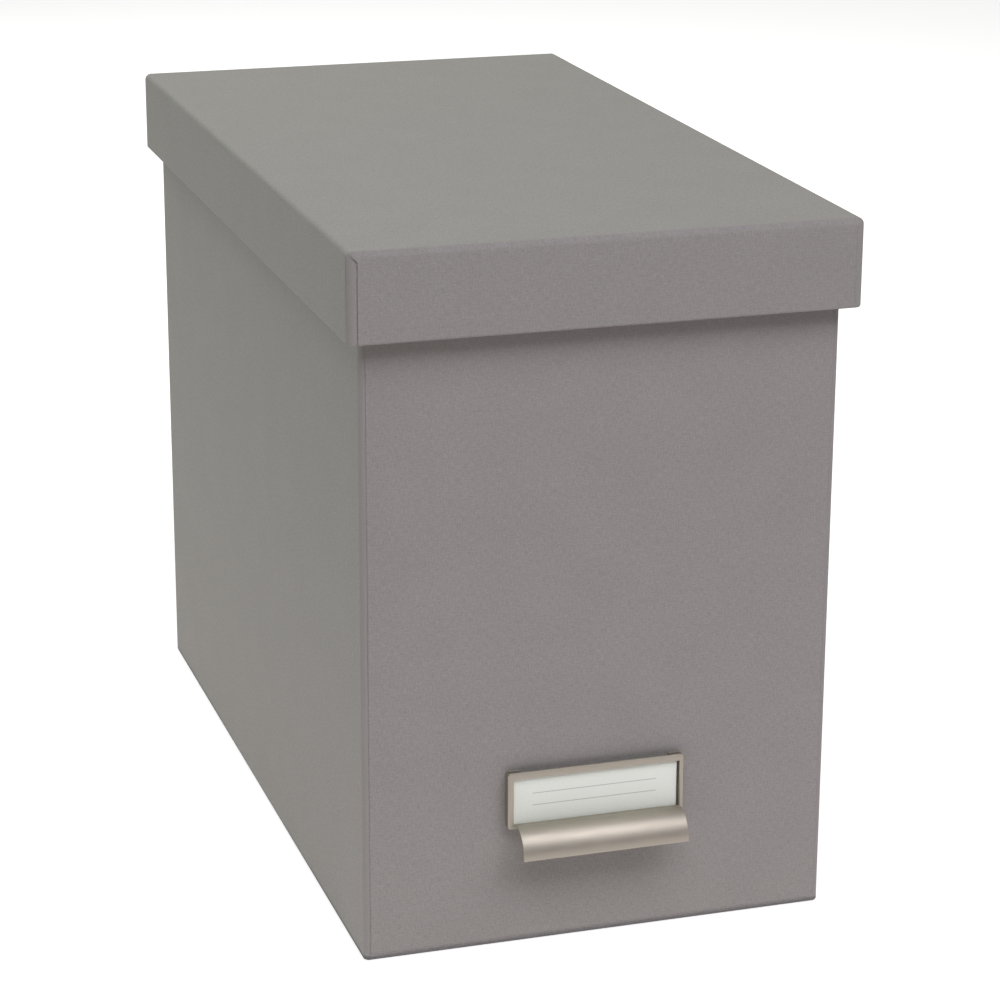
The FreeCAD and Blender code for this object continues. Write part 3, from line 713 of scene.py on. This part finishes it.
class Plate:
    """A flat rectangular grid that faces up or down, with the same tables as a Grid."""

    def __init__(self, half_x, half_y, height, up):
        self.xs = [place for place, _ in face_lines(half_x, [0.0, CREASE], PITCH)]
        self.ys = [place for place, _ in face_lines(half_y, [0.0, CREASE], PITCH)]
        self.up = up
        spots = {}
        for a, x in enumerate(self.xs):
            for b, y in enumerate(self.ys):
                spots[a, b] = Vector((x, y, height))
        self.places = spots
        self.normals = dict.fromkeys(spots, Vector((0, 0, up)))
        self.outward = dict.fromkeys(spots, Vector())
        self.flat = {key: place.xy for key, place in spots.items()}

    def faces(self):
        for a in range(len(self.xs) - 1):
            for b in range(len(self.ys) - 1):
                keys = ((a, b), (a + 1, b), (a + 1, b + 1), (a, b + 1))
                yield keys if self.up > 0 else keys[::-1]


def flat_sheet(name, reach, height, up, thick, material):
    """A flat rectangular sheet, whose outer face is at a height and faces up or down."""
    plate = Plate(reach.x, reach.y, height, up)
    sheet = Sheet(name, thick=thick)
    for keys in plate.faces():
        sheet.add(plate, keys)
    return sheet.build(material)


# The lid's papers.


LID_OFFSETS = [LID_FOLD, LAP_MARGIN - CREASE, LAP_MARGIN, LAP_MARGIN + CREASE]
LAP_RANK = FOLD_STEPS + 2


def lid_grid():
    """The outside of the lid at the level of the end flaps: from the end of the turn-in down, round
    the skirt's foot, up the walls and over the top's edge."""
    columns = ring_columns(LID_X, LID_Y, LID_OFFSETS, LID_FOLD)
    shoulder = LID_FOOT + RIM_FOLD + CREASE
    top = [(0.0, LID_TOP - offset, 1.0, 0.0, FOLD_STEPS + i) for i, offset in enumerate(LID_OFFSETS)]
    rows = climb(LID_FOOT + LID_TURN, shoulder, LID_WALL, first=True)
    rows += edge_rows(LID_FOOT, -1, LID_WALL)[::-1]
    rows += climb(shoulder, LID_TOP - LID_OFFSETS[-1], first=True)[:-1]
    rows += top[:0:-1] + fold_rows(LID_TOP, 1, LID_FOLD)
    return Grid(LID_X, LID_Y, columns, rows, LID_FOLD)


def lid_papers():
    grid = lid_grid()

    def owner(across, up, middle):
        lap = -LAP_RANK < across < 0 and up > -across
        return 1 if lap or 0 < across < FOLD_STEPS else 0

    wrap = Sheet("lid_wrap", (0.0, -PAPER), -PAPER)
    wrap.take(grid, owner)
    close_top(wrap, grid)
    hand_over(wrap.build(COVER), "lid", "cover_paper", "lid_cover")
    inside = high("lid_lining")
    rows = climb(inside.z - PAPER, LID_FOOT + LID_TURN, LID_WALL, first=True)
    band = Sheet("lid_wall_paper")
    band.take(Grid(LID_X, LID_Y, grid.columns, rows, LID_FOLD), lambda across, up, middle: 0)
    hand_over(band.build(LINING), "lid", "lining_paper", "lid_lining")
    ceiling = flat_sheet("lid_top_paper", inside, inside.z - PAPER, -1, PAPER, LINING)
    hand_over(ceiling, "lid", "lining_paper")


def close_top(sheet, grid):
    """The flat top, whose lines go on from the grid's last row."""
    last = len(grid.rows) - 1
    xs = sorted({round(centre.x, PLACE_DIGITS) for centre, _, _ in grid.columns})
    ys = sorted({round(centre.y, PLACE_DIGITS) for centre, _, _ in grid.columns})
    border = {}
    for j, (centre, _, _) in enumerate(grid.columns):
        border[round(centre.x, PLACE_DIGITS), round(centre.y, PLACE_DIGITS)] = grid.key(last, j)
    for x in xs:
        for y in ys:
            if (x, y) not in border:
                border[x, y] = key = ("top", x, y)
                grid.places[key] = Vector((x, y, LID_TOP))
                grid.normals[key] = Vector((0, 0, 1))
                grid.outward[key] = Vector()
                grid.flat[key] = Vector((x, y))
    for x, next_x in zip(xs, xs[1:]):
        for y, next_y in zip(ys, ys[1:]):
            corners = ((x, y), (next_x, y), (next_x, next_y), (x, next_y))
            sheet.add(grid, tuple(border[corner] for corner in corners))


# Metal parts and the card.


def rounded_copy(node, name, width, material, clamp=True):
    """The CAD shape of a node with its sharp edges rounded. clamp narrows the rounding until it
    fits every short edge."""
    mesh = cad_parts[node].data.copy()
    mesh.name = name
    shape = bmesh.new()
    shape.from_mesh(mesh)
    bmesh.ops.remove_doubles(shape, verts=shape.verts, dist=METAL_MERGE)
    limit = math.radians(FLAT_WITHIN)
    bmesh.ops.dissolve_limit(shape, angle_limit=limit, verts=shape.verts, edges=shape.edges)
    limit = math.radians(ROUNDED_FROM)
    paired = [edge for edge in shape.edges if len(edge.link_faces) == 2]
    sharp = [edge for edge in paired if edge.calc_face_angle() > limit]
    bmesh.ops.bevel(
        shape, geom=sharp, offset=width, offset_type="OFFSET", segments=EDGE_STEPS, profile=0.5,
        affect="EDGES", clamp_overlap=clamp,
    )
    bmesh.ops.remove_doubles(shape, verts=shape.verts, dist=SAME)
    bmesh.ops.dissolve_degenerate(shape, edges=shape.edges, dist=SAME)
    shape.to_mesh(mesh)
    shape.free()
    return finished(name, mesh, material, METAL_SHARP)


def dome(radius, rise):
    """(radius, height) of the rings of a low dome, from its rim to near its crown."""
    turns = [math.pi / 2 * step / DOME_STEPS for step in range(DOME_STEPS)]
    return [(radius * math.cos(turn), rise * math.sin(turn)) for turn in turns]


def turned_rivet(shape, x, level, end, outer, inner):
    """Adds a rivet along Y at (x, level): a domed head outside and a domed set end inside."""
    seat, shoulder = outer - RIVET_HEAD_RISE, inner + RIVET_SET_RISE
    head, foot = dome(RIVET_HEAD, RIVET_HEAD_RISE), dome(RIVET_SET, RIVET_SET_RISE)
    rings = [(seat + up, radius) for radius, up in reversed(head)]
    rings += [(seat, RIVET_SHANK), (shoulder, RIVET_SHANK)]
    rings += [(shoulder - up, radius) for radius, up in foot]
    made = []
    for depth, radius in rings:
        ring = []
        for side in range(RIVET_SIDES):
            turn = 2 * math.pi * side / RIVET_SIDES
            across, up = radius * math.cos(turn), radius * math.sin(turn)
            ring.append(shape.verts.new((x + across, end * depth, level + up)))
        made.append(ring)
    crown = shape.verts.new((x, end * outer, level))
    tip = shape.verts.new((x, end * inner, level))
    for side in range(RIVET_SIDES):
        after = (side + 1) % RIVET_SIDES
        for ring, following in zip(made, made[1:]):
            shape.faces.new((ring[side], ring[after], following[after], following[side]))
        shape.faces.new((crown, made[0][after], made[0][side]))
        shape.faces.new((tip, made[-1][side], made[-1][after]))


def round_rivets():
    """The four rail rivets, placed by their node's box and depths."""
    depths = [abs(point.co.y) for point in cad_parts["rail_rivets"].data.vertices]
    first, last = low("rail_rivets"), high("rail_rivets")
    shape = bmesh.new()
    for x in (first.x + RIVET_HEAD, last.x - RIVET_HEAD):
        for end in (-1, 1):
            turned_rivet(shape, x, (first.z + last.z) / 2, end, max(depths), min(depths))
    bmesh.ops.recalc_face_normals(shape, faces=shape.faces)
    mesh = bpy.data.meshes.new("rivets")
    shape.to_mesh(mesh)
    shape.free()
    return finished("rivets", mesh, RIVET_STEEL)


def metal_parts():
    holder = rounded_copy("label_holder", "holder_stamping", STAMPED_EDGE, HOLDER_METAL, clamp=False)
    hand_over(holder, "box", "holder_metal", "label_holder")
    for word in ("front", "back"):
        rail = rounded_copy(f"{word}_rail", f"{word}_channel", RAIL_EDGE, RAIL_STEEL)
        hand_over(rail, "box", "rail_steel", f"{word}_rail")
    hand_over(round_rivets(), "box", "rivet_steel", "rail_rivets")


def card():
    made = rounded_copy("label_card", "card", CARD_EDGE, CARD)
    hand_over(made, "card", "card_stock", "label_card")


def paint_nodes():
    """Gives the boards and the corner tapes, which stay the CAD's, their materials."""
    for name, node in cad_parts.items():
        material = None
        if name.endswith("_board"):
            material = BOARD
        elif name.endswith("_stays"):
            material = TAPE
        if material:
            node.data.materials.clear()
            node.data.materials.append(material)


# Stage, lights and camera.


FLOOR_REACH = 6.0
FLOOR_PAINT = 0.5
FLOOR_GLOW = 0.75            # keeps the floor white; it lights nothing else
BACKDROP = 0.8               # the pale backdrop past the floor, which only the camera sees
NEAREST = 0.05               # the camera sees nothing nearer than this
LIGHTS = (
    # name, place, aim, size, power in watts, colour
    ("front_top", (0.0, -1.1, 1.7), (0.0, 0.0, 0.2), (1.6, 1.0), 23.5, (0.95, 0.90, 0.985)),
    ("front_right", (1.1, -1.3, 1.7), (0.0, 0.0, 0.2), (1.2, 1.2), 17.5, (0.95, 0.90, 0.985)),
    ("back_top", (-0.2, 1.5, 1.3), (0.0, 0.0, 0.2), (1.6, 1.0), 22.5, (0.96, 1.0, 0.88)),
    ("left_side", (-2.2, -0.1, 0.9), (0.0, 0.0, 0.12), (1.6, 1.0), 8.5, (0.93, 1.0, 0.98)),
    ("left_back", (-1.7, 1.4, 0.6), (0.0, 0.0, 0.12), (1.2, 0.9), 7.0, (0.93, 1.0, 0.98)),
    ("table", (0.0, 0.0, 0.0004), (0.0, 0.0, 1.0), (1.2, 1.4), 4.2, (1.0, 0.89, 0.92)),
)


def stage():
    mesh = bpy.data.meshes.new("floor")
    turns = ((-1, -1), (1, -1), (1, 1), (-1, 1))
    corners = [(x * FLOOR_REACH, y * FLOOR_REACH, 0) for x, y in turns]
    mesh.from_pydata(corners, [], [(0, 1, 2, 3)])
    paint = Nodes("floor_white")
    paint.put(paint.surface, "Base Color", (FLOOR_PAINT, FLOOR_PAINT, FLOOR_PAINT, 1))
    paint.put(paint.surface, "Roughness", 0.9)
    paint.put(paint.surface, "Specular IOR Level", 0.1)
    paint.put(paint.surface, "Emission Color", (1, 1, 1, 1))
    paint.put(paint.surface, "Emission Strength", FLOOR_GLOW)
    mesh.materials.append(paint.material)
    floor = bpy.data.objects.new("floor", mesh)
    bpy.context.scene.collection.objects.link(floor)
    itself = bpy.data.collections.new("lit_by_floor")
    itself.objects.link(floor)
    floor.light_linking.receiver_collection = itself


def aimed(name, data, place, aim, roll=0.0):
    made = bpy.data.objects.new(name, data)
    made.location = place
    turn = (Vector(aim) - Vector(place)).to_track_quat("-Z", "Y").to_matrix()
    made.rotation_euler = (turn @ Matrix.Rotation(roll, 3, "Z")).to_euler()
    bpy.context.scene.collection.objects.link(made)
    return made


def lights():
    for name, place, aim, size, power, colour in LIGHTS:
        lamp = bpy.data.lights.new(name, "AREA")
        lamp.shape, lamp.size, lamp.size_y = "RECTANGLE", *size
        lamp.energy, lamp.color = power, colour
        aimed(name, lamp, place, aim)
    world = bpy.data.worlds.new("studio")
    bpy.context.scene.world = world
    world.use_nodes = True
    sky = world.node_tree.nodes["Background"]
    sky.inputs["Color"].default_value = (1, 1, 1, 1)
    sky.inputs["Strength"].default_value = BACKDROP
    seen = world.cycles_visibility
    seen.diffuse = seen.glossy = seen.transmission = seen.scatter = False


def camera():
    lens = bpy.data.cameras.new("camera")
    lens.lens, lens.sensor_width, lens.clip_start = LENS, SENSOR, NEAREST
    bpy.context.scene.camera = aimed("camera", lens, CAMERA_PLACE, CAMERA_AIM, CAMERA_ROLL)
    bpy.context.scene.view_settings.view_transform = "Standard"


camera()
stage()
lights()
paint_nodes()
body_papers()
lid_papers()
metal_parts()
card()
